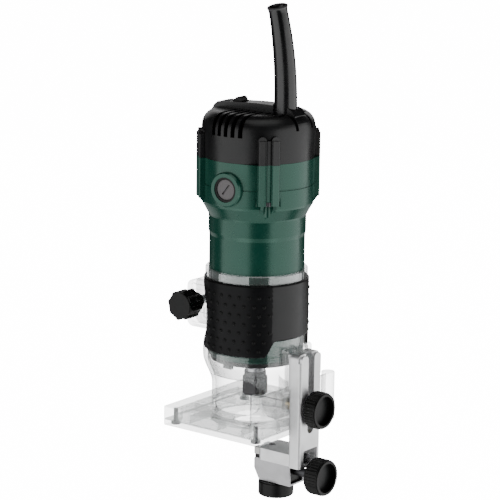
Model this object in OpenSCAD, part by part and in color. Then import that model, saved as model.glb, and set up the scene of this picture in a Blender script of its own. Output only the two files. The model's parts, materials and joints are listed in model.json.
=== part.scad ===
// Trim router with a clear adjustable base and an edge guide with a bearing roller.
// Origin: spindle axis at the sole. +X faces the edge guide, -Y the clamp knob, +Z up.

/* [Base] */
// Width of the sole along the guide side
sole_w = 90; // [84:1:100]
// Reach of the sole from the spindle axis, away from the guide
sole_back = 45; // [43:1:52]
// Reach of the sole from the spindle axis, towards the guide
sole_front = 37; // [37:0.5:37]
// Thickness of the clear sheet under the base
sheet_t = 4; // [3:0.5:5]
// Height of the base plate's top above the work
plate_top = 13; // [11:0.5:15]
// Height of the clear chip wall on the guide side
wall_top = 33.7; // [30:0.1:36]
// Radius of the opening for the bit in the sheet
bit_hole_r = 15; // [14:0.5:18]
// Height of the clamping collar's top above the work
collar_top = 111; // [108:1:113]

/* [Motor] */
// Radius of the motor's neck, the standard 65 mm of a trim router
neck_r = 32.5; // [32.5:0.1:32.6]
// Radius of the drum above the neck
drum_r = 38; // [37.8:0.1:38.4]
// Angle of the motor in its collar
motor_turn = 2.5; // [0:0.5:5]
// Height of the motor's lower end
neck_bottom = 50; // [50:0.5:51]
// Height of the seam between housing and top cap
seam_z = 187.4; // [186:0.2:188]
// Height of the top cap's flat top
cap_top = 218.6; // [217.8:0.1:219]
// Radius of the router bit's shank
shank_r = 3; // [3:0.175:3.175]

/* [Edge guide] */
// Radius of the two knurled guide knobs
knob_r = 12.7; // [11:0.1:12.9]
// Height of the upper guide knob's axis
knob_a_z = 19; // [18:0.5:20]
// Radius of the guide roller
roller_r = 12.2; // [10:0.1:12.4]
// Distance of the roller's axis from the spindle axis
roller_x = 19.4; // [18.8:0.1:19.6]

/* [Hidden] */
$fn = 64;
e = 0.01;
sole_half = sole_w / 2;
boss_in = 6.5;                     // screw bosses' distance from the sole's edges
collar_r = 34;                     // outside of the collar under the grip
bore_r = neck_r + 0.3;             // inside of the collar
leg_r = 29.6;                      // outside of the funnel's lower part
skirt_r = 36;                      // outside of the skirt below the grip
leg_z = 29;
skirt_z = 50;
grip_z = [55.1, 104.7];
grip_r = 35.9;
ear_x = -54;
ear_z = [61.8, 95];
clamp_at = [-45, 0, 80.5];
rail_y = [11.8, 14.6];
rail_top = 60.5;
brush_z = 169.5;
brush_turn = 2;                    // angle of the brushes from the motor's Y axis
rib_r = 41.2;                      // outside of the screw ribs
rib_z = 160;
screw_r = 38;                      // circle of the cap screws
shoulder = [13, 13.3];             // width and height of the cap's rounded shoulder
cap_r = drum_r + 0.4;              // the cap below its shoulder
bar_half = 6.5;                    // half the width of the raised bar on the cap
bar_top = 222.3;
rocker_at = [-18.6, 0, 218.4];
guard_at = [21.4, 0];
guard_turn = 13.5;
guard_bend_r = 250;
guard_r = 7.2;                     // outside of the guard along its bend
cord_bore_r = 4;
guard_z = 226;                     // where the cord guard starts to bend
core_z = [88, 132];                // laminations
holder_x = [37.3, 47.6];
holder_half = 11.9;
slide_z = [-37, -21.7];            // roller arm
arm_z = [-21.2, -12.8];            // foot of the guide holder
spacer_top = -19.2;                // top of the spacer under the arm's pad
adjust_z = -17;
knob_b_z = -27.6;
roller_z = [-47.4, -37.4];

// ---------- shapes ----------

// A box between two corners
module box(a, b) {
    translate(a) cube(b - a);
}

// A box between two corners with its four upright edges rounded
module round_box(a, b, r) {
    box([a.x + r, a.y, a.z], [b.x - r, b.y, b.z]);
    box([a.x, a.y + r, a.z], [b.x, b.y - r, b.z]);
    for (x = [a.x + r, b.x - r], y = [a.y + r, b.y - r])
        translate([x, y, a.z]) cylinder(r = r, h = b.z - a.z);
}

// The same with its edges rounded along X, or along Y
module round_box_x(a, b, r) {
    size = [b.z - a.z, b.y - a.y, b.x - a.x];
    translate(a) mirror([1, 0, 0]) rotate([0, -90, 0]) round_box([0, 0, 0], size, r);
}
module round_box_y(a, b, r) {
    size = [b.x - a.x, b.z - a.z, b.y - a.y];
    translate([a.x, b.y, a.z]) rotate([90, 0, 0]) round_box([0, 0, 0], size, r);
}

module ring(ro, ri, z0, z1) {
    translate([0, 0, z0]) difference() {
        cylinder(r = ro, h = z1 - z0);
        translate([0, 0, -1]) cylinder(r = ri, h = z1 - z0 + 2);
    }
}

// A cylinder between two heights, and along +X or +Y between two places
module rod(r, z0, z1) {
    translate([0, 0, z0]) cylinder(r = r, h = z1 - z0);
}
module rod_x(r, x0, x1) {
    translate([x0, 0, 0]) rotate([0, 90, 0]) cylinder(r = r, h = x1 - x0);
}
module rod_y(r, y0, y1) {
    translate([0, y1, 0]) rotate([90, 0, 0]) cylinder(r = r, h = y1 - y0);
}

module on_both_sides() {
    children();
    mirror([0, 1, 0]) children();
}

// Four copies between the X and Y axes
module on_diagonals() {
    for (a = [45 : 90 : 315]) rotate(a) children();
}

module motor_frame() {
    rotate(motor_turn) children();
}

// Copies at both brushes, with the brush's axis along -Y at height 0
module at_brushes() {
    for (s = [0, 180]) rotate(brush_turn + s) translate([0, 0, brush_z]) children();
}

function ease(t) = t * t * (3 - 2 * t);
function between(a, b, t) = a + (b - a) * t;

// A round tube swept along a list of points
module sweep(path, r, sides = 8) {
    n = len(path);
    side = [for (i = [0 : n - 1]) path[min(i + 1, n - 1)] - path[max(i - 1, 0)]];
    first = [for (d = side) let (c = cross(d, [0.31, 0.22, 0.93])) c / norm(c)];
    second = [for (i = [0 : n - 1]) let (c = cross(side[i], first[i])) c / norm(c)];
    points = [for (i = [0 : n - 1], k = [0 : sides - 1])
        path[i] + r * (cos(k * 360 / sides) * first[i] + sin(k * 360 / sides) * second[i])];
    walls = [for (i = [0 : n - 2], k = [0 : sides - 1])
        let (j = (k + 1) % sides)
        [i * sides + k, (i + 1) * sides + k, (i + 1) * sides + j, i * sides + j]];
    ends = [[for (k = [0 : sides - 1]) k], [for (k = [sides - 1 : -1 : 0]) (n - 1) * sides + k]];
    polyhedron(points, concat(walls, ends));
}

// A cap screw standing on its head, with a socket in the head
module screw(z0, r_head, h_head, r, length) {
    translate([0, 0, z0]) difference() {
        union() {
            cylinder(r = r_head, h = h_head);
            cylinder(r = r, h = h_head + length);
        }
        translate([0, 0, -1]) cylinder(r = r_head * 0.5, h = 1 + h_head * 0.6, $fn = 6);
    }
}

// ---------- clear base ----------

// The funnel from the legs up to the skirt, seen in section, moved in by wall
function funnel(wall) = [for (i = [0 : 10])
    [between(leg_r, skirt_r, ease(i / 10)) - wall, between(leg_z, skirt_z, i / 10)]];

module base_outer() {
    rotate_extrude() polygon(concat([[0, sheet_t], [leg_r, sheet_t]], funnel(0),
        [[skirt_r, 54.9], [collar_r, 54.9], [collar_r, 105], [34.9, 105.4],
         [34.9, collar_top - 0.6], [34.3, collar_top], [0, collar_top]]));
}

module base_inner() {
    rotate_extrude() polygon(concat([[0, 0], [leg_r - 2.5, 0]],
        [for (p = funnel(2.5)) [min(p.x, bore_r), p.y]],
        [[bore_r, collar_top + 1], [0, collar_top + 1]]));
}

module plate_pocket() {
    difference() {
        round_box([-sole_back + 3, -sole_half + 3, sheet_t - 1],
                  [sole_front - 3, sole_half - 3, plate_top - 3], 3);
        rod(leg_r + 1.2, 0, plate_top);
        for (x = [-sole_back + boss_in, sole_front - boss_in], s = [-1, 1])
            translate([x, s * (sole_half - boss_in), 0]) rod(4.6, 0, plate_top);
        for (x = [-24, 0, 20]) box([x - 0.8, -sole_half, 0], [x + 0.8, sole_half, plate_top]);
        for (y = [-15, 15]) box([-sole_back, y - 0.8, 0], [sole_front, y + 0.8, plate_top]);
    }
}

// The ribbed back wall that the guide holder slides along
module guide_rails() {
    box([31, -rail_y[1], wall_top - 4], [33.8, rail_y[1], rail_top - 3]);
    on_both_sides() {
        round_box_y([32, rail_y[0], 28], [sole_front, rail_y[1], rail_top], 2.2);
        round_box_y([32, 3.8, 30], [sole_front, 5.2, rail_top - 0.5], 2.2);
    }
    translate([0, 0, knob_a_z]) rod_x(6.5, 26, sole_front);
}

module clamp_ears() {
    on_both_sides() difference() {
        round_box_y([ear_x, 1.5, ear_z[0]], [-28, 8, ear_z[1]], 5);
        round_box_y([ear_x + 3, 6, ear_z[0] + 3], [-36, 9, clamp_at.z - 8], 2);
        round_box_y([ear_x + 3, 6, clamp_at.z + 8], [-36, 9, ear_z[1] - 3], 2);
    }
}

module base_housing() {
    color([0.86, 0.9, 0.92, 0.45]) difference() {
        union() {
            round_box([-sole_back, -sole_half, sheet_t], [sole_front, sole_half, plate_top], 2.5);
            box([sole_front - 3, -sole_half + 2.5, sheet_t], [sole_front, sole_half - 2.5, wall_top]);
            for (s = [-1, 1])
                translate([sole_front - 4.5, s * (sole_half - 4.5), 0]) rod(4.5, sheet_t, wall_top);
            base_outer();
            guide_rails();
            clamp_ears();
        }
        base_inner();
        plate_pocket();
        // windows to reach the collet nut, on the two sides
        for (s = [-1, 1])
            round_box_y([-20, s * 30 - 14, plate_top], [20, s * 30 + 14, 38], 8);
        // slit that lets the collar close
        box([ear_x - 1, -1.5, 57], [-30, 1.5, collar_top + 1]);
        translate(clamp_at) rod_y(3.3, -10, 10);
        // threaded insert, and the four screws of the sheet
        translate([0, 0, knob_a_z]) rod_x(4.2, 29, 40);
        for (x = [-sole_back + boss_in, sole_front - boss_in], s = [-1, 1])
            translate([x, s * (sole_half - boss_in), 0]) rod(1.6, 0, 11.6);
    }
}

module sub_base() {
    color([0.86, 0.9, 0.92, 0.45]) difference() {
        round_box([-sole_back, -sole_half, 0], [sole_front, sole_half, sheet_t - 0.02], 2.5);
        rod(bit_hole_r, -1, sheet_t + 1);
        for (x = [-sole_back + boss_in, sole_front - boss_in], s = [-1, 1])
            translate([x, s * (sole_half - boss_in), 0]) {
                rod(1.8, -1, sheet_t + 1);
                rod(3.4, -1, 2.2);
            }
    }
}

module sub_base_screws() {
    color("silver")
    for (x = [-sole_back + boss_in, sole_front - boss_in], s = [-1, 1])
        translate([x, s * (sole_half - boss_in), 0]) screw(0.3, 3.2, 1.9, 1.55, 9);
}

module grip_sleeve() {
    color([0.1, 0.1, 0.11]) difference() {
        ring(grip_r, collar_r + 0.04, grip_z[0], grip_z[1]);
        // room for the clamp ears, round in side view
        translate([0, 0, 78.3]) rod_x(30.8, -60, 0);
        box([-60, -12, 50], [0, 12, 110]);
        // raised lower edge behind the guide
        round_box_x([0, -21.5, 40], [60, 21.5, 65.9], 4);
    }
}

module guide_insert() {
    color("goldenrod") translate([0, 0, knob_a_z]) difference() {
        rod_x(4.18, 29.2, 36.8);
        rod_x(3.07, 28, 38);
    }
}

module clamp_nut() {
    color("silver") translate(clamp_at) difference() {
        translate([0, 13, 0]) rotate([90, 0, 0]) cylinder(r = 5.8, h = 4.9, $fn = 6);
        rod_y(3.07, 7, 14);
    }
}

// ---------- knobs ----------

module clamp_knob() {
    color([0.08, 0.08, 0.09]) translate(clamp_at) difference() {
        union() {
            rod_y(9.3, -28, -14.6);
            rod_y(6.2, -15, -8.3);
            for (k = [0 : 7]) rotate([0, k * 45 + 10, 0]) translate([8, 0, 0]) rod_y(2.5, -27.4, -15.2);
        }
        rod_y(3, -22, -8);
    }
}

module clamp_stud() {
    color("silver") translate(clamp_at) rod_y(3, -22, 14.5);
}

// A knurled knob along +X with a sunk face, from x0 to x1
module knurled_knob(x0, x1) {
    difference() {
        union() {
            rod_x(knob_r - 0.8, x0, x1);
            rod_x(knob_r - 0.35, x0 + 0.8, x1 - 0.8);
            for (k = [0 : 35]) rotate([k * 10, 0, 0])
                translate([0, 0, knob_r - 0.6]) rod_x(0.6, x0 + 1.2, x1 - 1.6);
        }
        rod_x(knob_r - 2.6, x1 - 4.2, x1 + 1);
        rod_x(3, x0 - 1, x0 + 5);
    }
}

module guide_knob() {
    color([0.08, 0.08, 0.09]) translate([0, 0, knob_a_z]) knurled_knob(49.6, 59.5);
}

module guide_knob_stud() {
    color("silver") translate([0, 0, knob_a_z]) {
        rod_x(3, 30, 54.3);
        // washer face against the guide holder
        difference() {
            rod_x(7, 47.9, 49.6);
            rod_x(3, 47, 51);
        }
    }
}

// ---------- motor shell ----------

module screw_rib(z0, z1) {
    for (s = [-1, 1]) translate([0, s * 4.5, 0]) {
        box([36, -2.8, z0], [rib_r - 1, 2.8, z1]);
        box([36, -1.8, z0], [rib_r, 1.8, z1]);
        for (t = [-1, 1]) translate([rib_r - 1, t * 1.8, 0]) rod(1, z0, z1);
    }
    box([36, -5, z0], [40, 5, z1]);
}

// Webs under a screw rib, either side of the screwdriver's way in
module rib_webs() {
    for (y = [-5.2, 3.2]) translate([0, y + 2, 0]) rotate([90, 0, 0])
        linear_extrude(2) polygon([[33.4, 150.5], [rib_r - 0.4, rib_z], [35.5, rib_z]]);
}

module brush_boss() {
    rotate([90, 0, 0]) rotate_extrude()
        polygon([[0, 30], [11.7, 30], [11.7, 39.3], [10.9, 40.4], [0, 40.4]]);
}

module motor_housing() {
    color([0.08, 0.3, 0.24]) motor_frame() difference() {
        union() {
            rotate_extrude() polygon([[0, neck_bottom], [neck_r - 0.8, neck_bottom],
                [neck_r, neck_bottom + 0.8], [neck_r, 133.8], [33.1, 136.6], [33.1, 147.2],
                [33.5, 148.4], [37.6, 155.8], [drum_r + 0.1, 157.4], [drum_r + 0.1, 169.2],
                [drum_r - 0.4, 169.4], [drum_r - 0.4, 169.9], [drum_r - 0.1, 170.1],
                [drum_r - 0.1, seam_z - 0.1], [0, seam_z - 0.1]]);
            on_diagonals() {
                screw_rib(rib_z, seam_z - 0.1);
                rib_webs();
            }
            at_brushes() brush_boss();
        }
        // room inside, above the bearing seat
        rotate_extrude() polygon([[0, 62], [16, 62], [19, 54], [29.6, 54], [29.6, 146],
            [34.9, 156.5], [34.9, seam_z + 1], [0, seam_z + 1]]);
        rod(14.02, 40, 60);
        rod(11, 59, 63);
        on_diagonals() translate([screw_r, 0, 0]) {
            rod(1.55, 150, seam_z + 1);
            rod(2.9, 146, 162.5);
        }
        at_brushes() rod_y(8.42, -42, -30);
        // outlets for the cooling air, and the end plate's screw holes
        for (k = [0 : 5]) rotate(k * 60 + 30)
            round_box([20.5, -6, 40], [27, 6, 55], 2.5);
        for (k = [0 : 2]) rotate(k * 120) translate([23.5, 0, 0]) rod(1.3, 40, 58);
    }
}

module end_plate() {
    color([0.12, 0.12, 0.13]) motor_frame() difference() {
        union() {
            rod(30.6, 46.8, neck_bottom - 0.05);
            rod(12, 45.6, 47);
            rotate(-5) box([-3.5, -30, 44.2], [3.5, -24, 47]);
        }
        rod(8.2, 40, 52);
        for (k = [0 : 5]) rotate(k * 60 + 30)
            round_box([20, -6.5, 40], [27.5, 6.5, 55], 2.5);
        for (k = [0 : 2]) rotate(k * 120) translate([23.5, 0, 0]) rod(1.45, 40, 58);
    }
}

module end_plate_screws() {
    color("silver") motor_frame()
    for (k = [0 : 2]) rotate(k * 120) translate([23.5, 0, 0]) screw(45.2, 2.4, 1.55, 1.25, 7);
}

// The cap's outline from its wall over the rounded shoulder, moved in by wall
function cap_side(wall) = [for (t = [0 : 7.5 : 90])
    [cap_r - shoulder.x + shoulder.x * pow(cos(t), 0.78) - wall,
     cap_top - shoulder.y + shoulder.y * pow(sin(t), 0.78) - wall * sin(t)]];

module cap_bar() {
    rotate([90, 0, 0]) translate([0, 0, -bar_half]) linear_extrude(2 * bar_half)
        polygon([[-35.4, 212], [-34.6, 216], [-32.6, 219.4], [-29.8, 221.7], [-26.5, bar_top],
                 [-10, bar_top + 0.6], [2, bar_top + 1.2], [14, bar_top + 1.1], [28, 222.4],
                 [30.8, 220.6], [33.2, 217.4], [34.6, 213]]);
}

module top_cap() {
    color([0.11, 0.11, 0.12]) motor_frame() difference() {
        union() {
            rotate_extrude() polygon(concat([[0, seam_z], [drum_r - 0.1, seam_z]],
                cap_side(0), [[0, cap_top]]));
            cap_bar();
            // rounded ends of the screw ribs
            on_diagonals() {
                screw_rib(seam_z, 203.4);
                for (s = [-1, 1]) translate([36, s * 4.5, 203.4])
                    rod_x(2.8, 0, rib_r - 37);
            }
        }
        difference() {
            rotate_extrude() polygon(concat([[0, seam_z - 1], [35.4, seam_z - 1]],
                cap_side(2.4), [[0, cap_top - 2.4]]));
            on_diagonals() translate([screw_r - 2, 0, 0]) rod(4.6, seam_z, 206);
        }
        on_diagonals() translate([screw_r, 0, 0]) rod(1.25, 180, 203);
        // vents over both shoulders, and short ones beside the bar
        on_both_sides() {
            for (k = [-2 : 2]) box([k * 5.35 - 1.5, -50, 204.6], [k * 5.35 + 1.5, -9.5, 219]);
            for (k = [3 : 5]) box([k * 5.35 - 1.3, -16, 210], [k * 5.35 + 1.3, -9, 219]);
            // groove down the shoulder beside the cord guard
            box([24, 7.4, 208.5], [40, 9.8, 219]);
        }
        translate([guard_at.x, guard_at.y, 0]) rod(8.5, 205, 230);
        box([-27.2, -5, 205], [-10.2, 5, 230]);
    }
}

module cap_screws() {
    color("silver") motor_frame()
    on_diagonals() translate([screw_r, 0, 0]) screw(159.8, 2.7, 2.6, 1.25, 36);
}

// ---------- bearings and motor ----------

module race(r_out, r_in, z0, z1, r_track, r_ball) {
    difference() {
        ring(r_out, r_in, z0, z1);
        translate([0, 0, (z0 + z1) / 2]) rotate_extrude() translate([r_track, 0]) circle(r_ball);
    }
}

// Outer ring and balls: the balls sit in the outer track
module bearing_outer(r_out, r_in, z0, z1, r_track, r_ball, count) {
    race(r_out, r_in, z0, z1, r_track, r_ball);
    for (k = [0 : count - 1]) rotate(k * 360 / count)
        translate([r_track, 0, (z0 + z1) / 2]) sphere(r_ball - 0.05);
}

module front_bearing() {
    color("silver") bearing_outer(14, 11.6, 50.5, 58.5, 10, 2.1, 8);
}
module front_bearing_inner() {
    color("silver") race(8.4, 6.02, 50.5, 58.5, 10, 2.4);
}
module rear_bearing() {
    color("silver") bearing_outer(9.5, 7.7, 184, 190, 6.5, 1.6, 7);
}
module rear_bearing_inner() {
    color("silver") race(5.3, 3.52, 184, 190, 6.5, 1.9);
}

module bearing_bridge() {
    color([0.2, 0.2, 0.21]) motor_frame() {
        ring(34.7, 32.2, 180.6, 187);
        ring(12, 9.52, 183.9, 191);
        ring(12, 6, 190.1, 192);
        for (a = [0 : 60 : 300]) rotate(a + 30) box([11.5, -1.5, 183.9], [33, 1.5, 186.9]);
    }
}

module air_baffle() {
    color([0.2, 0.2, 0.21]) ring(29.5, 20.5, 79, 80.6);
}

module stator_core() {
    color([0.5, 0.5, 0.52]) motor_frame() difference() {
        ring(29.4, 16, core_z[0], core_z[1]);
        // windows for the coils either side of the two poles
        for (s = [0, 180]) rotate(s) {
            for (a = [-52, 52]) rotate(a) box([15, -4.2, 80], [25.5, 4.2, 140]);
        }
    }
}

module field_coils() {
    color([0.72, 0.4, 0.2]) motor_frame() for (s = [0, 180]) rotate(s) {
        for (a = [-52, 52]) rotate(a) box([17, -3.9, core_z[0] - 4], [25.2, 3.9, core_z[1] + 4]);
        for (z = [core_z[0] - 6, core_z[1] + 1]) difference() {
            rotate_extrude(angle = 104, start = -52) translate([17, z]) square([8.2, 5]);
            for (a = [-52, 52]) rotate(a) box([16.5, -3.95, z - 1], [26, 3.95, z + 6]);
        }
    }
}

module armature_core() {
    color([0.55, 0.55, 0.57]) difference() {
        ring(15.4, 5.02, core_z[0], core_z[1]);
        for (k = [0 : 11]) rotate(k * 30) {
            translate([11.6, 0, 0]) rod(2.3, 80, 140);
            box([11.6, -0.7, 80], [17, 0.7, 140]);
        }
    }
}

module armature_windings() {
    color([0.72, 0.4, 0.2]) {
        for (k = [0 : 11]) rotate(k * 30) translate([11.6, 0, 0])
            rod(2.1, core_z[0] - 1, core_z[1] + 1);
        for (z = [core_z[0] - 6.6, core_z[1] + 1]) rotate_extrude()
            polygon([[5.3, z + 0.6], [5.9, z], [12.7, z], [14.2, z + 1.6], [14.2, z + 4],
                     [12.7, z + 5.6], [5.9, z + 5.6], [5.3, z + 5]]);
    }
}

module commutator() {
    color([0.75, 0.5, 0.3]) difference() {
        union() {
            ring(11, 5.02, 160, 178);
            ring(12.6, 5.02, 157, 160);
        }
        for (k = [0 : 11]) rotate(k * 30) box([9.6, -0.35, 159], [13, 0.35, 179]);
    }
}

module cooling_fan() {
    color([0.85, 0.85, 0.82]) {
        ring(8.5, 5.02, 65, 77);
        ring(26, 8.5, 75.4, 77);
        for (k = [0 : 8]) rotate(k * 40 + 7) box([8.4, -0.9, 66], [25.5, 0.9, 75.4]);
    }
}

// Shaft with the collet's socket and two spanner flats at its lower end
module spindle_shaft() {
    color([0.6, 0.6, 0.62]) difference() {
        rotate_extrude() polygon([[0, 28], [6, 28], [6, 37.6], [6.9, 37.6], [6.9, 48.5],
            [6, 50.3], [6, 61.5], [5, 62.5], [5, 183.8], [3.5, 183.8], [3.5, 190.6], [0, 190.6]]);
        rod(5.02, 20, 40);
        rod(3.2, 38, 44);
        for (s = [-1, 1]) box([-10, s * 7.6 - 2.1, 39.5], [10, s * 7.6 + 2.1, 45]);
    }
}

module collet() {
    color([0.65, 0.65, 0.67]) difference() {
        rotate_extrude() polygon([[shank_r, 21.8], [4.3, 21.8], [5.6, 26.6], [5.6, 27.9],
            [5, 28], [5, 39.4], [shank_r, 39.4]]);
        for (k = [0 : 2]) rotate(k * 120) box([2, -0.35, 20], [8, 0.35, 34]);
    }
}

module collet_nut() {
    color([0.16, 0.16, 0.17]) difference() {
        union() {
            intersection() {
                translate([0, 0, 21]) rotate(8) cylinder(r = 9.82, h = 12.3, $fn = 6);
                rotate_extrude() polygon([[0, 21], [7.9, 21], [9.9, 23.4], [9.9, 31.9],
                    [8.3, 33.3], [0, 33.3]]);
            }
            rod(7.5, 33, 37.2);
        }
        rotate_extrude() polygon([[0, 20], [4.7, 20], [4.7, 22], [6.08, 26.8],
            [6.08, 38], [0, 38]]);
    }
}

// ---------- brush gear ----------

module brush_sockets() {
    color([0.1, 0.1, 0.11]) motor_frame() at_brushes() difference() {
        rod_y(8.4, -39.8, -30.2);
        rod_y(6.9, -41, -31.4);
        box([-4.8, -34, -4], [4.8, -29, 4]);
    }
}

module brush_caps() {
    color([0.36, 0.34, 0.35]) motor_frame() at_brushes() difference() {
        rod_y(6.85, -39.2, -33.2);
        rotate([0, -52, 0]) box([-4.2, -40, -0.55], [4.2, -38, 0.55]);
    }
}

module brush_holders() {
    color("goldenrod") motor_frame() at_brushes() difference() {
        box([-4.7, -33, -3.9], [4.7, -12.6, 3.9]);
        box([-3.7, -34, -2.9], [3.7, -12, 2.9]);
    }
}

module carbon_brushes() {
    color([0.15, 0.15, 0.15]) motor_frame() at_brushes() box([-3.6, -22, -2.8], [3.6, -11.4, 2.8]);
}

module brush_springs() {
    turns = 6;
    coil = [for (k = [0 : 60]) let (a = k * 6 * turns)
        [2 * cos(a), -22.5 - 10 * k / 60, 2 * sin(a)]];
    color("silver") motor_frame() at_brushes() sweep(coil, 0.3, 6);
}

// ---------- cord entry and switch ----------

// The round stretch of the guard's bend, from its lower to its upper end
module guard_bend(r) {
    translate([guard_at.x - guard_bend_r, guard_at.y, guard_z]) rotate([90, 0, 0])
        rotate_extrude(angle = guard_turn) translate([guard_bend_r, 0]) circle(r);
}

// Puts children at the upper end of the guard's bend, along its direction
module at_guard_tip() {
    translate([guard_at.x - guard_bend_r * (1 - cos(guard_turn)), guard_at.y,
               guard_z + guard_bend_r * sin(guard_turn)])
        rotate([0, -guard_turn, 0]) children();
}

// The straight ends run into the bend a little smaller outside and larger inside than it is
module cord_guard() {
    into = 0.5;
    step = 0.05;
    color([0.12, 0.12, 0.13]) motor_frame() difference() {
        union() {
            translate([guard_at.x, guard_at.y, 212])
                cylinder(r1 = 8.3, r2 = guard_r - step, h = guard_z + into - 212);
            guard_bend(guard_r);
            at_guard_tip() {
                translate([0, 0, -into]) cylinder(r = guard_r - step, h = 3 + into);
                translate([0, 0, 3]) cylinder(r1 = guard_r - step, r2 = 7.6, h = 3.4);
            }
            translate([guard_at.x, guard_at.y, 0]) rod(9.4, 210.6, 212.6);
        }
        translate([guard_at.x, guard_at.y, 0]) rod(cord_bore_r + 0.2, 209, guard_z + into);
        guard_bend(cord_bore_r - 2 * step);
        at_guard_tip() rod(cord_bore_r, -8, 8);
    }
}

module cord_clamp() {
    color([0.15, 0.15, 0.16]) motor_frame() difference() {
        box([guard_at.x - 4, -9.5, 199], [guard_at.x + 4, 9.5, 203]);
        for (s = [-1, 1]) translate([guard_at.x, s * 7, 0]) rod(1.6, 198, 204);
    }
}

module cord_clamp_screws() {
    color("silver") motor_frame() for (s = [-1, 1])
        translate([guard_at.x, s * 7, 0]) screw(196.9, 2.6, 2, 1.5, 7);
}

module switch_body() {
    color([0.1, 0.1, 0.11]) motor_frame() difference() {
        union() {
            box([-27, -4.8, 200], [-10.4, 4.8, 217.4]);
            for (x = [-24, -19, -14]) box([x - 0.4, -2.4, 194], [x + 0.4, 2.4, 200]);
        }
        box([-26.4, -4.2, 210], [-11, 4.2, 218]);
    }
}

// Rocker with a raised inner end and a low outer end
module switch_rocker() {
    color([0.07, 0.07, 0.08]) motor_frame() {
        translate([0, 3.9, 0]) rotate([90, 0, 0]) linear_extrude(7.8)
            polygon([[-25.8, 215.6], [-25.6, 221.6], [-24.8, 222.6], [-23.4, 222.9], [-19.4, 222.6],
                     [-16, 225.6], [-14, 226], [-12.4, 225.2], [-11.7, 223.4],
                     [-12.2, 215.6], [-15, 214], [-23, 214]]);
        translate([rocker_at.x, 0, rocker_at.z]) rod_y(1.5, -4.1, 4.1);
    }
}

module suppression_capacitor() {
    color([0.75, 0.6, 0.15]) motor_frame()
        box([-6, 12, 194], [8, 20, 206]);
}

// A lead from a switch terminal down to each brush holder
module motor_leads() {
    foot = [5.8, -27, brush_z + 5.2];
    color([0.2, 0.3, 0.6]) motor_frame()
    for (end = [[0, -24], [180, 14]]) rotate(brush_turn + end[0]) {
        path = [for (i = [0 : 14]) let (t = i / 14)
            [between(end[1], foot.x, ease(t)), foot.y * ease(t) - 7.5 * sin(180 * t),
             between(193.1, foot.z, t)]];
        sweep(path, 0.9, 8);
    }
}

// ---------- edge guide ----------

module guide_holder() {
    color([0.72, 0.73, 0.74]) difference() {
        union() {
            // upright plate with rounded edges, and its foot under the sole
            round_box([holder_x[0], -holder_half, -22], [holder_x[1], holder_half, 52], 2.4);
            round_box_x([holder_x[0], -holder_half, 30], [holder_x[1] - 2.4, holder_half, 57.5], 3.5);
            for (s = [-1, 1]) translate([0, s * 7.2, 0])
                round_box_x([holder_x[0] + 1, -3.6, 40], [holder_x[1], 3.6, 56.5], 2.5);
            round_box([12.4, -holder_half, arm_z[0]], [holder_x[0] + 3, holder_half, arm_z[1]], 2.5);
            // keys that slide between the ribs of the base
            on_both_sides() box([36.4, 5.7, 54.2], [holder_x[0] + 1, 11.3, 57]);
        }
        // open-topped slot for the upper knob's stud
        translate([0, 0, 4.8]) rod_x(3.4, 30, 60);
        box([30, -3.4, 4.8], [60, 3.4, 70]);
        // window over the adjusting screw
        round_box_x([holder_x[0] + 1.2, -7.4, -20.6], [60, 8.2, -9.8], 0.8);
        // channel under the foot for the roller arm's lug
        box([18, -2.9, -25], [36.4, 2.9, -14.3]);
        translate([0, 0, adjust_z]) rod_x(2.08, 30, 42);
        translate([15.9, 0, 0]) rod(2.4, -30, 0);
    }
}

module adjusting_screw() {
    color([0.35, 0.35, 0.36]) translate([0, 0, adjust_z]) {
        rod_x(2, 20, 40);
        difference() {
            union() {
                rod_x(3, 40, 46.2);
                for (k = [0 : 11]) rotate([k * 30, 0, 0]) translate([0, 0, 2.7]) rod_x(0.5, 40.4, 45.8);
            }
            box([45.4, -4, -0.4], [47, 4, 0.4]);
        }
    }
}

module roller_arm() {
    color([0.66, 0.67, 0.68]) difference() {
        union() {
            // sloping left end, open right end
            rotate([90, 0, 0]) translate([0, 0, -8.2]) linear_extrude(16.4)
                polygon([[10.6, slide_z[0]], [37, slide_z[0]], [37, slide_z[1]],
                         [7, slide_z[1]], [6.4, slide_z[1] - 1], [6.4, -29]]);
            box([28.5, -2.6, slide_z[1] - 1], [33, 2.6, -14.6]);
        }
        round_box_x([24, -7, -35.8], [40, 7, -23.2], 0.8);
        translate([0, 0, adjust_z]) rod_x(2.08, 20, 40);
        translate([roller_x, 0, 0]) rod(3.02, -38, -25.8);
    }
}

module arm_pad() {
    color([0.85, 0.85, 0.83]) difference() {
        round_box([6, -8.2, spacer_top + 0.02], [12, 8.2, -14.4], 0.8);
        // relief in the middle, so that the pad bears on its two ends
        box([5, -3, -15], [13, 3, -14]);
    }
}

// Dark spacer between the pad and the arm
module arm_spacer() {
    color([0.1, 0.1, 0.11]) difference() {
        round_box([6.6, -8, slide_z[1] + 0.02], [12, 8, spacer_top], 0.8);
        box([8.2, -5, slide_z[1] - 1], [10.4, 5, spacer_top + 1]);
    }
}

module arm_lock_knob() {
    color([0.08, 0.08, 0.09]) translate([0, 0, knob_b_z]) knurled_knob(51.2, 62.6);
}

module arm_lock_stud() {
    color("silver") translate([0, 0, knob_b_z]) rod_x(3, 25, 56);
}

module arm_lock_block() {
    color([0.1, 0.1, 0.11]) translate([0, 0, knob_b_z]) difference() {
        box([24.2, -5.4, -7.2], [35, 5.4, 2.8]);
        rod_x(3.07, 24, 36);
    }
}

module roller_axle() {
    color("silver") translate([roller_x, 0, 0]) difference() {
        union() {
            rod(3, roller_z[0] + 0.4, -26);
            rod(5.4, roller_z[0] + 0.4, roller_z[0] + 2.6);
        }
        translate([0, 0, roller_z[0]]) cylinder(r = 2.3, h = 1.9, $fn = 6);
    }
}

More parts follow.
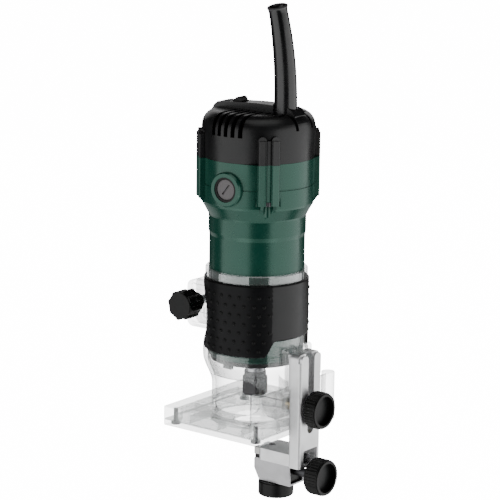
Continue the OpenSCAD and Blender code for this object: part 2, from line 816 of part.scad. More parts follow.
module guide_roller() {
    color([0.07, 0.07, 0.08]) translate([roller_x, 0, 0])
        rotate_extrude() polygon([[3.06, roller_z[0] + 3], [5.9, roller_z[0] + 3],
            [5.9, roller_z[0]], [roller_r - 0.8, roller_z[0]], [roller_r, roller_z[0] + 0.8],
            [roller_r, roller_z[1] - 0.5], [roller_r - 0.5, roller_z[1]], [3.06, roller_z[1]]]);
}

base_housing();
sub_base();
sub_base_screws();
grip_sleeve();
guide_insert();
clamp_nut();
clamp_knob();
clamp_stud();
motor_housing();
top_cap();
cap_screws();
end_plate();
end_plate_screws();
front_bearing();
rear_bearing();
bearing_bridge();
air_baffle();
stator_core();
field_coils();
brush_sockets();
brush_caps();
brush_holders();
carbon_brushes();
brush_springs();
cord_guard();
cord_clamp();
cord_clamp_screws();
switch_body();
suppression_capacitor();
motor_leads();
switch_rocker();
spindle_shaft();
front_bearing_inner();
rear_bearing_inner();
armature_core();
armature_windings();
commutator();
cooling_fan();
collet();
collet_nut();
guide_holder();
guide_knob();
guide_knob_stud();
adjusting_screw();
roller_arm();
arm_pad();
arm_spacer();
arm_lock_knob();
arm_lock_stud();
arm_lock_block();
roller_axle();
guide_roller();
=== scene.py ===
import json
import math

import bmesh
import bpy
from mathutils import Matrix, Vector

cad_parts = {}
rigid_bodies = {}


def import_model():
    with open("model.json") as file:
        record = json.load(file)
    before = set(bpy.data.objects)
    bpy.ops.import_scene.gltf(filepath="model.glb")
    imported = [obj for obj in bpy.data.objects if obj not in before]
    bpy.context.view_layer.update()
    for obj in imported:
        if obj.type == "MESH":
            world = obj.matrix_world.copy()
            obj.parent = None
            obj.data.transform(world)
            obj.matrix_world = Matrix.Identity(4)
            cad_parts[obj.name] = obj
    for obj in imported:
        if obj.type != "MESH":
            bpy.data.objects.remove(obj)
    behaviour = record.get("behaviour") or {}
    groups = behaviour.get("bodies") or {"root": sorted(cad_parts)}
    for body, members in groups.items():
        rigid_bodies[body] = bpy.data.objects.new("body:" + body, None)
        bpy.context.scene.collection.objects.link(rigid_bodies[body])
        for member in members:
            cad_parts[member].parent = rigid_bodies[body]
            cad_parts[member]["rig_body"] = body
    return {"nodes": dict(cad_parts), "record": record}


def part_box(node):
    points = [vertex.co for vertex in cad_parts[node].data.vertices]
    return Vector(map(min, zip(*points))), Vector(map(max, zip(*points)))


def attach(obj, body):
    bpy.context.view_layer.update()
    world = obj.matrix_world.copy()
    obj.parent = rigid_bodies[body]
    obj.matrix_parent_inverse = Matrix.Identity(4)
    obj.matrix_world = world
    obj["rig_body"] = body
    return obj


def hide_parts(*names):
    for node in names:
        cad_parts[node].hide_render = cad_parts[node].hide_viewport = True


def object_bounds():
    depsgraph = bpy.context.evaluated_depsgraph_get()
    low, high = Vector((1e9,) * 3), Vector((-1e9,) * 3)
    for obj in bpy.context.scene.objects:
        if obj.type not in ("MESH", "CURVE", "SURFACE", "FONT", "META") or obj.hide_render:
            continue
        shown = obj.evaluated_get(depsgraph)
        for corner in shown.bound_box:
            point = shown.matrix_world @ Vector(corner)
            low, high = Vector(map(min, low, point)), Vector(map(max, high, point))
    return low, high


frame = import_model()
cad_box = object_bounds()

MM = 0.001
MOTOR_TURN = math.radians(2.5)   # the motor's angle in its collar, as in part.scad

# ---------------------------------------------------------------- camera, light, floor

CAMERA_AZIMUTH = math.radians(37.36)
CAMERA_ELEVATION = math.radians(12.62)
CAMERA_ROLL = math.radians(0.8)
CAMERA_DISTANCE = 1.5212
CAMERA_TARGET_Z = 0.12168
CAMERA_ASIDE = -0.00471
LENS, SENSOR = 161.3, 36.0

WHITE_SEEN = 16.0         # strength of the backdrop where the camera looks at it
LAYER_LOSS = 0.55         # share of it that each clear surface in front takes away
FLOOR_DIMMER = 0.7        # the floor's own light comes on top of what it reflects
FLOOR_HALF = 6.0
FLOOR_GAP = 0.0004        # between the lowest part and the floor

SOFTBOX_AIM_Z = 0.1
# azimuth from the camera and elevation in degrees, distance, width, height, watts
SOFTBOXES = {
    "softbox_left": (-55, -10, 1.25, 1.9, 1.7, 18.5),
    "softbox_right": (75, -10, 1.25, 2.5, 1.7, 26.0),
    "softbox_top": (20, 75, 1.3, 1.0, 1.0, 4.0),
    "softbox_under": (0, -72, 1.2, 2.2, 1.8, 14.0),
    "softbox_low": (180, -38, 1.3, 3.4, 0.9, 6.0),
    "softbox_back": (180, 16, 1.4, 1.6, 0.5, 2.4),
}


def direction(azimuth, elevation=0.0):
    """From the object towards something at this azimuth: 0 is -Y."""
    flat = math.cos(elevation)
    return Vector((math.sin(azimuth) * flat, -math.cos(azimuth) * flat, math.sin(elevation)))


def add_camera():
    data = bpy.data.cameras.new("camera")
    data.lens, data.sensor_width = LENS, SENSOR
    data.clip_end = 20
    camera = bpy.data.objects.new("camera", data)
    bpy.context.scene.collection.objects.link(camera)
    back = direction(CAMERA_AZIMUTH, CAMERA_ELEVATION)
    right = Vector((math.cos(CAMERA_AZIMUTH), math.sin(CAMERA_AZIMUTH), 0))
    up = back.cross(right)
    place = Vector((0, 0, CAMERA_TARGET_Z)) + CAMERA_DISTANCE * back + CAMERA_ASIDE * right
    turn = Matrix((right, up, back)).transposed().to_4x4()
    camera.matrix_world = Matrix.Translation(place) @ turn @ Matrix.Rotation(CAMERA_ROLL, 4, "Z")
    bpy.context.scene.camera = camera


def add_softbox(name, azimuth, elevation, distance, width, height, watts):
    """A rectangular softbox that mirrors in the part but isn't seen itself."""
    data = bpy.data.lights.new(name, "AREA")
    data.shape, data.size, data.size_y, data.energy = "RECTANGLE", width, height, watts
    lamp = bpy.data.objects.new(name, data)
    bpy.context.scene.collection.objects.link(lamp)
    away = direction(CAMERA_AZIMUTH + math.radians(azimuth), math.radians(elevation))
    lamp.location = Vector((0, 0, SOFTBOX_AIM_Z)) + distance * away
    lamp.rotation_euler = away.to_track_quat("Z", "Y").to_euler()
    lamp.visible_camera = False


def seen_strength(tree, seen, glossy, diffuse):
    """A strength that is bright to the camera and dimmer in reflections and as a fill light.

    Clear plastic takes a share of the bright backdrop with every surface it is seen through.
    """
    path = tree.nodes.new("ShaderNodeLightPath")
    layers = tree.nodes.new("ShaderNodeMath")
    layers.operation = "MULTIPLY_ADD"
    tree.links.new(path.outputs["Transparent Depth"], layers.inputs[0])
    layers.inputs[1].default_value = LAYER_LOSS
    layers.inputs[2].default_value = 1.0
    through = tree.nodes.new("ShaderNodeMath")
    through.operation = "DIVIDE"
    through.inputs[0].default_value = seen
    tree.links.new(layers.outputs[0], through.inputs[1])

    def choose(factor, low, high):      # low where the factor is 0, high where it is 1
        node = tree.nodes.new("ShaderNodeMix")
        tree.links.new(factor, node.inputs[0])
        for socket, value in ((2, low), (3, high)):
            if isinstance(value, float):
                node.inputs[socket].default_value = value
            else:
                tree.links.new(value, node.inputs[socket])
        return node.outputs[0]

    lighting = choose(path.outputs["Is Glossy Ray"], diffuse, glossy)
    return choose(path.outputs["Is Camera Ray"], lighting, through.outputs[0])


def add_world():
    """White to the eye, dim in reflections, and a soft fill on everything."""
    world = bpy.data.worlds.new("studio")
    bpy.context.scene.world = world
    world.use_nodes = True
    tree = world.node_tree
    background = tree.nodes["Background"]
    background.inputs["Color"].default_value = (1, 1, 1, 1)
    tree.links.new(seen_strength(tree, WHITE_SEEN, 0.02, 0.2), background.inputs["Strength"])


def add_floor():
    """A plain pale floor just under the lowest part."""
    mesh = bpy.data.meshes.new("floor")
    signs = ((-1, -1), (1, -1), (1, 1), (-1, 1))
    mesh.from_pydata([(x * FLOOR_HALF, y * FLOOR_HALF, 0) for x, y in signs], [], [(0, 1, 2, 3)])
    floor = bpy.data.objects.new("floor", mesh)
    bpy.context.scene.collection.objects.link(floor)
    floor.location.z = cad_box[0][2] - FLOOR_GAP
    mat = bpy.data.materials.new("pale_floor")
    mat.use_nodes = True
    shader = mat.node_tree.nodes["Principled BSDF"]
    shader.inputs["Base Color"].default_value = (0.85, 0.85, 0.85, 1)
    shader.inputs["Roughness"].default_value = 0.9
    shader.inputs["Emission Color"].default_value = (1, 1, 1, 1)
    tree = mat.node_tree
    glow = seen_strength(tree, WHITE_SEEN - FLOOR_DIMMER, 0.0, 0.0)
    tree.links.new(glow, shader.inputs["Emission Strength"])
    mesh.materials.append(mat)
    # the softboxes reach below the floor, so that upright walls mirror them
    floor.visible_glossy = floor.visible_diffuse = floor.visible_shadow = False


add_camera()
add_world()
add_floor()
for name, placing in SOFTBOXES.items():
    add_softbox(name, *placing)

# ---------------------------------------------------------------- materials
# Bump distances are in metres, grain and noise sizes in cycles per metre.

SPECKLE = (0.3, 0.7)                          # the part of a noise's range that shows
RIB_FROM, RIB_SLOPE = 38.6, 0.42              # the screw ribs' start, in mm from the axis, and their tilt
SMOOTH_STRIP = math.tan(math.radians(35))     # half the grip's smooth strip, seen from the axis
WINDOW_GLARE_WALLS = ((38.3, -7.6, -20.8), (47.0, 8.4, -9.6))     # the walls of the holder's window, in mm, made non-metal so that they show white: a painted highlight
# how much the clear plastic hides face on, at heights in mm: the collar is thick
CLEAR_HAZE = ((0, 0.05), (44, 0.06), (52, 0.02), (95, 0.03), (104, 0.13), (111, 0.13))
CLEAR_TOP = 120                               # heights are given as shares of this
CLEAR_RIM = 0.8                               # and how much it hides edge on


def new_material(name):
    mat = bpy.data.materials.new(name)
    mat.use_nodes = True
    tree = mat.node_tree
    return mat, tree.nodes, tree.links, tree.nodes["Principled BSDF"]


def noise(nodes, links, coords, scale, detail=3.0, roughness=0.55):
    node = nodes.new("ShaderNodeTexNoise")
    node.inputs["Scale"].default_value = scale
    node.inputs["Detail"].default_value = detail
    node.inputs["Roughness"].default_value = roughness
    links.new(coords, node.inputs["Vector"])
    return node.outputs["Fac"]


def ramp(nodes, links, value, stops):
    node = nodes.new("ShaderNodeValToRGB")
    ends = node.color_ramp.elements
    for element, (place, colour) in zip(ends, (stops[0], stops[-1])):
        element.position = place
        element.color = (*colour, 1)
    for place, colour in stops[1:-1]:
        ends.new(place).color = (*colour, 1)
    links.new(value, node.inputs["Fac"])
    return node.outputs["Color"]


def map_range(nodes, links, value, low, high, start=0.0, end=1.0):
    node = nodes.new("ShaderNodeMapRange")
    node.inputs["From Min"].default_value, node.inputs["From Max"].default_value = start, end
    node.inputs["To Min"].default_value, node.inputs["To Max"].default_value = low, high
    links.new(value, node.inputs["Value"])
    return node.outputs["Result"]


def bump(nodes, links, height, distance, strength=1.0, after=None):
    node = nodes.new("ShaderNodeBump")
    node.inputs["Distance"].default_value = distance
    node.inputs["Strength"].default_value = strength
    links.new(height, node.inputs["Height"])
    if after is not None:
        links.new(after, node.inputs["Normal"])
    return node.outputs["Normal"]


def drifting(nodes, links, coords, scale, colour, spread):
    """The colour, a little lighter and darker from place to place."""
    darker, lighter = (tuple(min(1.0, c * f) for c in colour) for f in (1 - spread, 1 + spread))
    return ramp(nodes, links, noise(nodes, links, coords, scale, 4),
                [(SPECKLE[0], darker), (SPECKLE[1], lighter)])


def object_coords(nodes):
    return nodes.new("ShaderNodeTexCoord").outputs["Object"]


def split(nodes, links, vector):
    node = nodes.new("ShaderNodeSeparateXYZ")
    links.new(vector, node.inputs[0])
    return node.outputs


def math_node(nodes, links, operation, one, two=None):
    node = nodes.new("ShaderNodeMath")
    node.operation = operation
    for socket, value in zip(node.inputs, (one, two)):
        if isinstance(value, (int, float)):
            socket.default_value = value
        elif value is not None:
            links.new(value, socket)
    return node.outputs[0]


def zone(nodes, links, coords, low, high):
    """1 inside a box of the object's own space, given in millimetres, and 0 outside."""
    centre = [(a + b) / 2 * MM for a, b in zip(low, high)]
    half = [(b - a) / 2 * MM for a, b in zip(low, high)]
    vector = coords
    for operation, other in (("SUBTRACT", centre), ("DIVIDE", half), ("ABSOLUTE", None)):
        node = nodes.new("ShaderNodeVectorMath")
        node.operation = operation
        links.new(vector, node.inputs[0])
        if other is not None:
            node.inputs[1].default_value = other
        vector = node.outputs[0]
    x, y, z = split(nodes, links, vector)
    widest = math_node(nodes, links, "MAXIMUM", math_node(nodes, links, "MAXIMUM", x, y), z)
    return math_node(nodes, links, "LESS_THAN", widest, 1.0)


def rib_slope(nodes, links, coords, after):
    """Tilts the faces of the motor's eight screw ribs away from the middle of each pair.

    The pairs stand on the diagonals, so the motor's x and y are folded into one corner first.
    """
    turned = nodes.new("ShaderNodeVectorRotate")
    turned.rotation_type = "Z_AXIS"
    turned.inputs["Angle"].default_value = -MOTOR_TURN
    links.new(coords, turned.inputs["Vector"])
    x, y = (math_node(nodes, links, "ABSOLUTE", part) for part in split(nodes, links, turned.outputs[0])[:2])
    diagonal = math.sqrt(2) * MM
    across = math_node(nodes, links, "DIVIDE", math_node(nodes, links, "SUBTRACT", x, y), diagonal)
    outward = math_node(nodes, links, "DIVIDE", math_node(nodes, links, "ADD", x, y), diagonal)
    height = math_node(nodes, links, "MULTIPLY", math_node(nodes, links, "ABSOLUTE", across), -1.0)
    normal = bump(nodes, links, height, RIB_SLOPE * MM, after=after)
    on_rib = math_node(nodes, links, "GREATER_THAN", outward, RIB_FROM)
    links.new(on_rib, normal.node.inputs["Strength"])
    return normal


def moulded(name, colour, roughness, grain=1500, grain_depth=0.00004, spread=0.12, specular=0.5,
            tint=(1, 1, 1), ribs=False):
    """Moulded plastic or rubber: slight colour drift, spark-eroded grain, uneven gloss."""
    mat, nodes, links, shader = new_material(name)
    coords = object_coords(nodes)
    links.new(drifting(nodes, links, coords, 28, colour, spread), shader.inputs["Base Color"])
    smear = noise(nodes, links, coords, 75, 5, 0.65)
    links.new(map_range(nodes, links, smear, roughness - 0.05, roughness + 0.07, *SPECKLE),
              shader.inputs["Roughness"])
    grains = noise(nodes, links, coords, grain, 2)
    surface = bump(nodes, links, grains, grain_depth, 0.5)
    if ribs:
        surface = rib_slope(nodes, links, coords, surface)
    links.new(surface, shader.inputs["Normal"])
    shader.inputs["Specular IOR Level"].default_value = specular
    shader.inputs["Specular Tint"].default_value = (*tint, 1)
    return mat


def metal(name, colour, roughness, grain=900, grain_depth=0.00005, brushed=None, spread=0.08,
          painted_glare_zone=None):
    """Cast or turned metal: fine pitting or brushing, patchy gloss, and a painted highlight in a zone if
    asked.
    """
    mat, nodes, links, shader = new_material(name)
    coords = object_coords(nodes)
    grain_coords = coords
    if brushed is not None:
        mapping = nodes.new("ShaderNodeMapping")
        mapping.inputs["Scale"].default_value = brushed
        links.new(coords, mapping.inputs["Vector"])
        grain_coords = mapping.outputs["Vector"]
    links.new(drifting(nodes, links, coords, 45, colour, spread), shader.inputs["Base Color"])
    shader.inputs["Metallic"].default_value = 1.0
    if painted_glare_zone is not None:
        # inside the zone the metal is made non-metal, so its pale colour shows white as a painted highlight
        inside = zone(nodes, links, coords, *painted_glare_zone)
        links.new(map_range(nodes, links, inside, 1.0, 0.0), shader.inputs["Metallic"])
    patches = noise(nodes, links, coords, 160, 5, 0.65)
    links.new(map_range(nodes, links, patches, roughness - 0.06, roughness + 0.1, *SPECKLE),
              shader.inputs["Roughness"])
    grains = noise(nodes, links, grain_coords, grain, 3)
    links.new(bump(nodes, links, grains, grain_depth, 0.6), shader.inputs["Normal"])
    return mat


def clear_plastic(name):
    """Clear polycarbonate: nearly invisible face on, greyer along its edges, with faint flow marks."""
    mat, nodes, links, shader = new_material(name)
    coords = object_coords(nodes)
    scuffs = noise(nodes, links, coords, 120, 6, 0.7)
    links.new(map_range(nodes, links, scuffs, 0.03, 0.12, 0.45, 0.8), shader.inputs["Roughness"])
    flow = noise(nodes, links, coords, 35, 3)
    links.new(bump(nodes, links, flow, 0.0002, 0.25), shader.inputs["Normal"])
    rim = nodes.new("ShaderNodeLayerWeight")
    rim.inputs["Blend"].default_value = 0.35
    height = split(nodes, links, coords)["Z"]
    haze = ramp(nodes, links, map_range(nodes, links, height, 0, 1, 0, CLEAR_TOP * MM),
                [(z / CLEAR_TOP, (value, value, value)) for z, value in CLEAR_HAZE])
    mix = nodes.new("ShaderNodeMix")
    links.new(rim.outputs["Facing"], mix.inputs[0])
    links.new(haze, mix.inputs[2])
    mix.inputs[3].default_value = CLEAR_RIM
    links.new(mix.outputs[0], shader.inputs["Alpha"])
    links.new(ramp(nodes, links, flow, [(SPECKLE[0], (0.68, 0.7, 0.7)), (SPECKLE[1], (0.78, 0.8, 0.8))]),
              shader.inputs["Base Color"])
    shader.inputs["Metallic"].default_value = 0.8
    return mat


GREEN = moulded("green_plastic", (0.0015, 0.036, 0.024), 0.25, 1500, 0.000003, spread=0.08,
                specular=0.65, tint=(0.62, 1.0, 0.84), ribs=True)
BLACK = moulded("black_plastic", (0.005, 0.005, 0.0055), 0.3, 1500, 0.000006, specular=0.35, ribs=True)
KNOB = moulded("knob_plastic", (0.003, 0.003, 0.003), 0.36, 1300, 0.000006, specular=0.2)
RUBBER = moulded("grip_rubber", (0.004, 0.004, 0.0045), 0.34, 2200, 0.000006, specular=0.35)
RUBBER_DOTTED = moulded("grip_rubber_dotted", (0.004, 0.004, 0.0045), 0.36, 2200, 0.000006, specular=0.12)
GUARD = moulded("guard_rubber", (0.004, 0.004, 0.0045), 0.24, 900, 0.000004, specular=0.6)
# a lighter copy of the guard's rubber for its lip: a painted highlight where the rim catches light
GUARD_LIP_HIGHLIGHT = moulded("guard_lip_highlight", (0.045, 0.045, 0.047), 0.45, 900, 0.000004)
CAP = moulded("cap_plastic", (0.085, 0.078, 0.081), 0.45)
CLEAR = clear_plastic("clear_plastic")
CAST_TONE = (0.78, 0.785, 0.79)
CAST = metal("cast_aluminium", CAST_TONE, 0.46, 700, 0.00006)
# the holder's window walls get a painted highlight: they are made non-metal and show white
CAST_HOLDER = metal("cast_holder", CAST_TONE, 0.46, 700, 0.00006, painted_glare_zone=WINDOW_GLARE_WALLS)
# a darker copy of the cast aluminium for the roller arm: painted shade under the foot's overhang
CAST_ARM_SHADED = metal("cast_arm_painted_shade", (0.44, 0.44, 0.45), 0.42, 700, 0.00006)
BLACKENED = metal("blackened_nut", (0.075, 0.075, 0.078), 0.45, 1200, 0.00003)
STEEL = metal("steel", (0.56, 0.57, 0.59), 0.3)
DARK_STEEL = metal("dark_steel", (0.07, 0.07, 0.075), 0.38)
RACE = metal("bearing_steel", (0.7, 0.71, 0.73), 0.16, 1500, 0.00001)
CORE = metal("laminations", (0.4, 0.4, 0.42), 0.42, 500, 0.00008, brushed=(0.02, 0.02, 4))
COPPER = metal("copper", (0.72, 0.33, 0.15), 0.3, 600, 0.0001, brushed=(1, 1, 0.1))
BRASS = metal("brass", (0.78, 0.58, 0.25), 0.28)
PAD = moulded("pad_plastic", (0.62, 0.62, 0.6), 0.35, 1200, 0.00001)
CARBON = moulded("carbon", (0.02, 0.02, 0.02), 0.6)
NYLON = moulded("fan_plastic", (0.5, 0.47, 0.4), 0.45)
WIRE = moulded("wire_insulation", (0.03, 0.09, 0.4), 0.3)
CASE = moulded("capacitor_case", (0.65, 0.42, 0.05), 0.3)

BY_SLOT = {
    "clear_plastic": CLEAR, "grip_rubber": RUBBER, "green_plastic": GREEN, "black_plastic": BLACK,
    "knob_plastic": KNOB, "guard_rubber": GUARD, "cast_aluminium": CAST, "steel": STEEL,
    "dark_steel": DARK_STEEL, "bearing_steel": RACE, "laminations": CORE, "copper": COPPER,
    "brass": BRASS, "carbon": CARBON, "pad_plastic": PAD, "cap_plastic": CAP, "fan_plastic": NYLON,
    "wire_insulation": WIRE, "capacitor_case": CASE,
}
BLACK_SCREWS = ("cap_screws", "sub_base_screws", "arm_lock_stud")
SLOT_OF = {part["node"]: part["material_slot"] for part in frame["record"]["subparts"]}


def dress(obj, material):
    obj.data.materials.clear()
    obj.data.materials.append(material)


for node, obj in frame["nodes"].items():
    dress(obj, DARK_STEEL if node in BLACK_SCREWS else BY_SLOT[SLOT_OF[node]])

# ---------------------------------------------------------------- pieces from the CAD with rounded edges


SAME_POINT = 2e-6             # corners of the CAD mesh this close, in metres, are one
SPLIT = math.radians(8)       # corners whose CAD normals differ by more belong to two faces
ROUND_OVER = math.radians(32)     # edges sharper than this are rounded
FLAT = math.radians(0.05)     # triangles within this angle are joined into one face
ROUNDING_STEPS = 3
ROUNDED = {
    "base_housing": 0.35, "sub_base": 0.3, "clamp_knob": 0.9, "motor_housing": 0.3,
    "top_cap": 0.5, "switch_rocker": 0.4, "brush_sockets": 0.3, "brush_caps": 0.25,
    "collet_nut": 0.4, "guide_holder": 1.1, "roller_arm": 0.8, "guide_knob": 0.3, "arm_lock_knob": 0.3,
    "arm_pad": 0.4, "guide_roller": 0.4, "end_plate": 0.3, "adjusting_screw": 0.15, "clamp_nut": 0.3,
}
# the roller arm takes the darker cast aluminium, which is painted shade
OWN_MATERIAL = {"roller_arm": CAST_ARM_SHADED, "guide_holder": CAST_HOLDER, "collet_nut": BLACKENED}


def bake(piece):
    """Works the piece's modifiers into its mesh."""
    depsgraph = bpy.context.evaluated_depsgraph_get()
    depsgraph.update()
    mesh = bpy.data.meshes.new_from_object(piece.evaluated_get(depsgraph), depsgraph=depsgraph)
    piece.modifiers.clear()
    piece.data = mesh
    mesh.name = piece.name


def crease(bm, normals):
    """Keeps the edges between CAD faces sharp, and marks the sharpest for rounding."""
    weight = bm.edges.layers.float.new("bevel_weight_edge")
    for edge in bm.edges:
        if len(edge.link_loops) != 2:
            continue
        one, two = edge.link_loops
        pairs = ((one, two.link_loop_next), (one.link_loop_next, two))
        edge.smooth = all(a[normals].angle(b[normals], 0.0) < SPLIT for a, b in pairs)
        if edge.calc_face_angle() > ROUND_OVER:
            edge[weight] = 1.0


def rounded_copy(node, width):
    """A CAD node's shape with its edges rounded by a width in mm, as its own piece."""
    name, slot = node + "_piece", SLOT_OF[node]
    mesh = frame["nodes"][node].data.copy()
    kept = mesh.attributes.new("cad_normal", "FLOAT_VECTOR", "CORNER")
    kept.data.foreach_set("vector", [c for n in mesh.corner_normals for c in n.vector])
    bm = bmesh.new()
    bm.from_mesh(mesh)
    bmesh.ops.remove_doubles(bm, verts=bm.verts, dist=SAME_POINT)
    crease(bm, bm.loops.layers.float_vector["cad_normal"])
    bmesh.ops.dissolve_limit(bm, angle_limit=FLAT, verts=bm.verts, edges=bm.edges, delimit={"SHARP"})
    for face in bm.faces:
        face.smooth = True
    mesh = bpy.data.meshes.new(name)
    bm.to_mesh(mesh)
    bm.free()
    mesh.attributes.remove(mesh.attributes["cad_normal"])
    mesh.materials.append(OWN_MATERIAL.get(node, BY_SLOT[slot]))
    piece = bpy.data.objects.new(name, mesh)
    bpy.context.scene.collection.objects.link(piece)
    bevel = piece.modifiers.new("rounding", "BEVEL")
    bevel.width, bevel.segments = width * MM, ROUNDING_STEPS
    bevel.limit_method = "WEIGHT"
    bevel.miter_outer = "MITER_ARC"
    weighted = piece.modifiers.new("normals", "WEIGHTED_NORMAL")
    weighted.mode, weighted.weight, weighted.keep_sharp = "FACE_AREA", 100, True
    bake(piece)
    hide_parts(node)
    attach(piece, frame["nodes"][node]["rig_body"])


for node, width in ROUNDED.items():
    rounded_copy(node, width)

# ---------------------------------------------------------------- helpers for modelled pieces


def make_piece(name, vertices, faces, body, slot, node):
    """A closed mesh in millimetres, already in place, as a piece that replaces a node."""
    mesh = bpy.data.meshes.new(name)
    mesh.from_pydata([Vector(v) * MM for v in vertices], [], faces)
    bm = bmesh.new()
    bm.from_mesh(mesh)
    bmesh.ops.recalc_face_normals(bm, faces=bm.faces)
    bm.to_mesh(mesh)
    bm.free()
    piece = bpy.data.objects.new(name, mesh)
    bpy.context.scene.collection.objects.link(piece)
    for polygon in mesh.polygons:
        polygon.use_smooth = True
    mesh.materials.append(BY_SLOT[slot])
    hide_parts(node)
    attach(piece, body)
    return piece


def sharpen(piece, angle):
    """Keeps the edges over this angle in degrees sharp in a smooth piece."""
    mesh = piece.data
    bm = bmesh.new()
    bm.from_mesh(mesh)
    for edge in bm.edges:
        if edge.is_manifold:
            edge.smooth = edge.calc_face_angle() < math.radians(angle)
    bm.to_mesh(mesh)
    bm.free()


def paint(piece, material, chosen):
    """A second material for the polygons that are chosen."""
    piece.data.materials.append(material)
    for polygon in piece.data.polygons:
        if chosen(polygon):
            polygon.material_index = 1


def grid_faces(rows, columns, start=0, around=False):
    """Quads over a grid of points stored row by row."""
    faces = []
    for i in range(rows - 1):
        for k in range(columns if around else columns - 1):
            n = (k + 1) % columns
            faces.append((start + i * columns + k, start + i * columns + n,
                          start + (i + 1) * columns + n, start + (i + 1) * columns + k))
    return faces


# ---------------------------------------------------------------- grip sleeve with its domes

GRIP_LOW, GRIP_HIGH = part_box("grip_sleeve")
GRIP_R = GRIP_HIGH.y / MM
GRIP_INNER = 34.05
GRIP_ZS = (GRIP_LOW.z / MM, GRIP_HIGH.z / MM)
GRIP_ROWS, GRIP_COLUMNS = 40, 190
ROLL_R = 1.1                                             # of the sleeve's rolled edges
EAR_CUT_R, EAR_CUT_Z, EAR_HALF = 30.8, 78.3, 12.0        # as in part.scad
RAISED_HALF, RAISED_Z, RAISED_EASE = 21.5, 65.9, 3.2     # as in part.scad
DOME_R, DOME_HIGH, DOME_SUNK = 1.35, 0.75, 0.08
DOME_FROM_SIDE, DOME_FROM_BOTTOM = 2.4, 2.5
DOME_PITCH, DOME_DROP, DOME_ROWS = math.radians(11), 6.13, 7
DOME_FIRST, DOME_TOP_Z = math.radians(38.5), 96.5
DOME_RINGS = (0.0, 0.3, 0.6, 0.85)                       # shares of the way up


def ear_side(z):
    """Half the angle that the sleeve covers at a height, up to its cut-out for the ears."""
    half = max(EAR_HALF, math.sqrt(max(0.0, EAR_CUT_R ** 2 - (z - EAR_CUT_Z) ** 2)))
    return math.pi - math.asin(half / GRIP_R)


def grip_bottom(theta):
    """The lower edge: raised behind the edge guide, with an S-shaped step at both ends."""
    if math.cos(theta) < 0:
        return GRIP_ZS[0]
    past = abs(GRIP_R * math.sin(theta)) - RAISED_HALF
    t = min(1.0, max(0.0, (RAISED_EASE - past) / (2 * RAISED_EASE)))
    return GRIP_ZS[0] + (RAISED_Z - GRIP_ZS[0]) * t * t * (3 - 2 * t)


def edge_spaced(length, count, steps=(0, 0.08, 0.25, 0.5, 0.85, 1.3)):
    """Distances from one edge to the other, close together near both edges."""
    last = steps[-1]
    middle = [last + (length - 2 * last) * k / count for k in range(1, count)]
    return [*steps, *middle, *(length - s for s in reversed(steps))]


def rolled(distance):
    """How far the rolled edge has risen at a distance from it, as a share of the full height."""
    t = 1 - min(1.0, distance / ROLL_R)
    return math.sqrt(max(0.0, 1 - t * t))


def grip_sleeve():
    """Points and faces of the sleeve: outside, inside, and the rolled edges between them."""
    rows = len(edge_spaced(GRIP_ZS[1] - GRIP_ZS[0], GRIP_ROWS))
    columns = len(edge_spaced(2 * math.pi * GRIP_R, GRIP_COLUMNS))
    outer, inner = [], []
    for i in range(rows):
        for k in range(columns):
            z = sum(GRIP_ZS) / 2
            for _ in range(4):     # the angle and the height depend on each other, so they settle in turns
                half = ear_side(z)
                along = edge_spaced(2 * half * GRIP_R, GRIP_COLUMNS)[k]
                theta = along / GRIP_R - half
                bottom = grip_bottom(theta)
                z = bottom + edge_spaced(GRIP_ZS[1] - bottom, GRIP_ROWS)[i]
            side = min(along, 2 * half * GRIP_R - along)
            end = min(z - bottom, GRIP_ZS[1] - z)
            r = GRIP_INNER + (GRIP_R - GRIP_INNER) * rolled(side) * rolled(end)
            outer.append((r * math.cos(theta), r * math.sin(theta), z))
            inner.append((GRIP_INNER * math.cos(theta), GRIP_INNER * math.sin(theta), z))
    faces = grid_faces(rows, columns)
    points = list(outer)
    back = []
    for i in range(rows):
        for k in range(columns):
            if i in (0, rows - 1) or k in (0, columns - 1):
                back.append(i * columns + k)
            else:
                back.append(len(points))
                points.append(inner[i * columns + k])
    faces += [tuple(back[v] for v in reversed(face)) for face in grid_faces(rows, columns)]
    return points, faces


def add_dome(points, faces, theta, z, segments=14):
    out = Vector((math.cos(theta), math.sin(theta), 0))
    side = Vector((-math.sin(theta), math.cos(theta), 0))
    up = Vector((0, 0, 1))
    centre = out * (GRIP_R - DOME_SUNK) + up * z
    start = len(points)
    for t in DOME_RINGS:
        flat, high = DOME_R * math.cos(t * math.pi / 2), DOME_HIGH * math.sin(t * math.pi / 2)
        for k in range(segments):
            a = 2 * math.pi * k / segments
            points.append(centre + out * high + side * flat * math.cos(a) + up * flat * math.sin(a))
    points.append(centre + out * DOME_HIGH)
    faces += grid_faces(len(DOME_RINGS), segments, start, around=True)
    top = start + (len(DOME_RINGS) - 1) * segments
    faces += [(top + k, top + (k + 1) % segments, len(points) - 1) for k in range(segments)]
    faces.append(tuple(start + k for k in reversed(range(segments))))


def build_grip():
    points, faces = grip_sleeve()
    points = [Vector(p) for p in points]
    for row in range(DOME_ROWS):
        z = DOME_TOP_Z - row * DOME_DROP
        theta = DOME_FIRST + (row % 2) * DOME_PITCH / 2
        while theta < ear_side(z) - DOME_FROM_SIDE / GRIP_R:
            if z - grip_bottom(theta) > DOME_FROM_BOTTOM:
                add_dome(points, faces, theta, z)
                add_dome(points, faces, -theta, z)
            theta += DOME_PITCH
    piece = make_piece("grip_sleeve_piece", points, faces, "base", "grip_rubber", "grip_sleeve")
    paint(piece, RUBBER_DOTTED, lambda face: abs(face.center.y) > face.center.x * SMOOTH_STRIP)
    sharpen(piece, 50)


build_grip()

# ---------------------------------------------------------------- cord guard, swept with a flared open mouth

GUARD_X, GUARD_BEND_Z, GUARD_BEND_R = 21.4, 226.0, 250.0     # as in part.scad
GUARD_TURN = math.radians(13.5)
BEND_LENGTH = GUARD_BEND_R * GUARD_TURN
GUARD_STRAIGHT = 6.4                                          # past the bend's end
GUARD_MOUTH_CUT = math.tan(math.radians(17))                  # the mouth is cut open towards the user
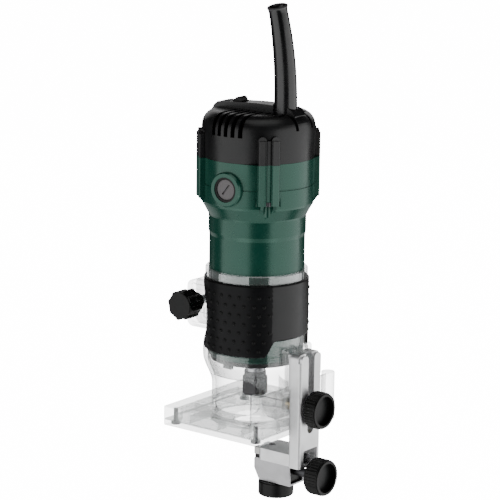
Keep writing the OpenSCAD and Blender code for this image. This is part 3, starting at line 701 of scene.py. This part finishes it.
# distance along the guard from the bend's start, and radius: its collar, its body and its flared lip
GUARD_COLLAR = ((-15.4, 9.2), (-15.2, 9.4), (-13.5, 9.4), (-13.4, 9.2))
GUARD_BODY = ((-13.4, 8.3), (-9, 8.05), (0, 7.75), (20, 7.45), (40, 7.0),
              (BEND_LENGTH - 4, 6.45), (BEND_LENGTH + 1.5, 6.35))
GUARD_LIP_OUTSIDE = ((BEND_LENGTH + 3.8, 6.6), (BEND_LENGTH + 5.2, 7.0), (BEND_LENGTH + 6.0, 7.1),
                     (BEND_LENGTH + 6.4, 6.9), (BEND_LENGTH + 6.4, 6.3))
GUARD_OUTSIDE = GUARD_COLLAR + GUARD_BODY + GUARD_LIP_OUTSIDE
GUARD_INSIDE = ((BEND_LENGTH + 6.2, 5.6), (BEND_LENGTH + 5.0, 5.2), (BEND_LENGTH + 2.0, 4.7),
                (BEND_LENGTH - 6, 4.2), (30, 4.2), (0, 4.2), (-15.4, 4.2))


def guard_frame(along):
    """Centre and leaning direction at a distance along the guard, in the motor's own frame."""
    turn = min(max(along, 0.0), BEND_LENGTH) / GUARD_BEND_R
    lean = Vector((-math.sin(turn), 0, math.cos(turn)))
    bend = Vector((GUARD_X - GUARD_BEND_R, 0, GUARD_BEND_Z))
    centre = bend + GUARD_BEND_R * Vector((math.cos(turn), 0, math.sin(turn)))
    return centre + lean * (along - turn * GUARD_BEND_R), lean


def filled(profile, step=4.0):
    """The profile with more points where it is longer than a step."""
    points = [profile[0]]
    for (a, ra), (b, rb) in zip(profile, profile[1:]):
        count = max(1, math.ceil(abs(b - a) / step))
        points += [(a + (b - a) * k / count, ra + (rb - ra) * k / count) for k in range(1, count + 1)]
    return points


def build_guard(segments=48):
    points = []
    rings = filled(GUARD_OUTSIDE) + filled(GUARD_INSIDE)
    turn = Matrix.Rotation(MOTOR_TURN, 3, "Z")
    towards = direction(CAMERA_AZIMUTH)
    for along, radius in rings:
        centre, lean = guard_frame(along)
        side = Vector((0, 1, 0))
        front = side.cross(lean)
        slant = max(0.0, (along - BEND_LENGTH) / GUARD_STRAIGHT)
        for k in range(segments):
            a = 2 * math.pi * k / segments
            out = (front * math.cos(a) + side * math.sin(a)) * radius
            drop = GUARD_MOUTH_CUT * slant * (out.dot(towards) + radius)
            points.append(turn @ (centre + out - lean * drop))
    faces = grid_faces(len(rings), segments, around=True)
    last = (len(rings) - 1) * segments
    faces += [(last + k, last + (k + 1) % segments, (k + 1) % segments, k) for k in range(segments)]
    piece = make_piece("cord_guard_piece", points, faces, "motor", "guard_rubber", "cord_guard")
    lip = range(rings.index(GUARD_LIP_OUTSIDE[0]), rings.index(GUARD_INSIDE[0]) + 1)
    # the lip rings take the lighter rubber, a painted highlight
    paint(piece, GUARD_LIP_HIGHLIGHT, lambda face: all(corner // segments in lip for corner in face.vertices))
    sharpen(piece, 60)


build_guard()
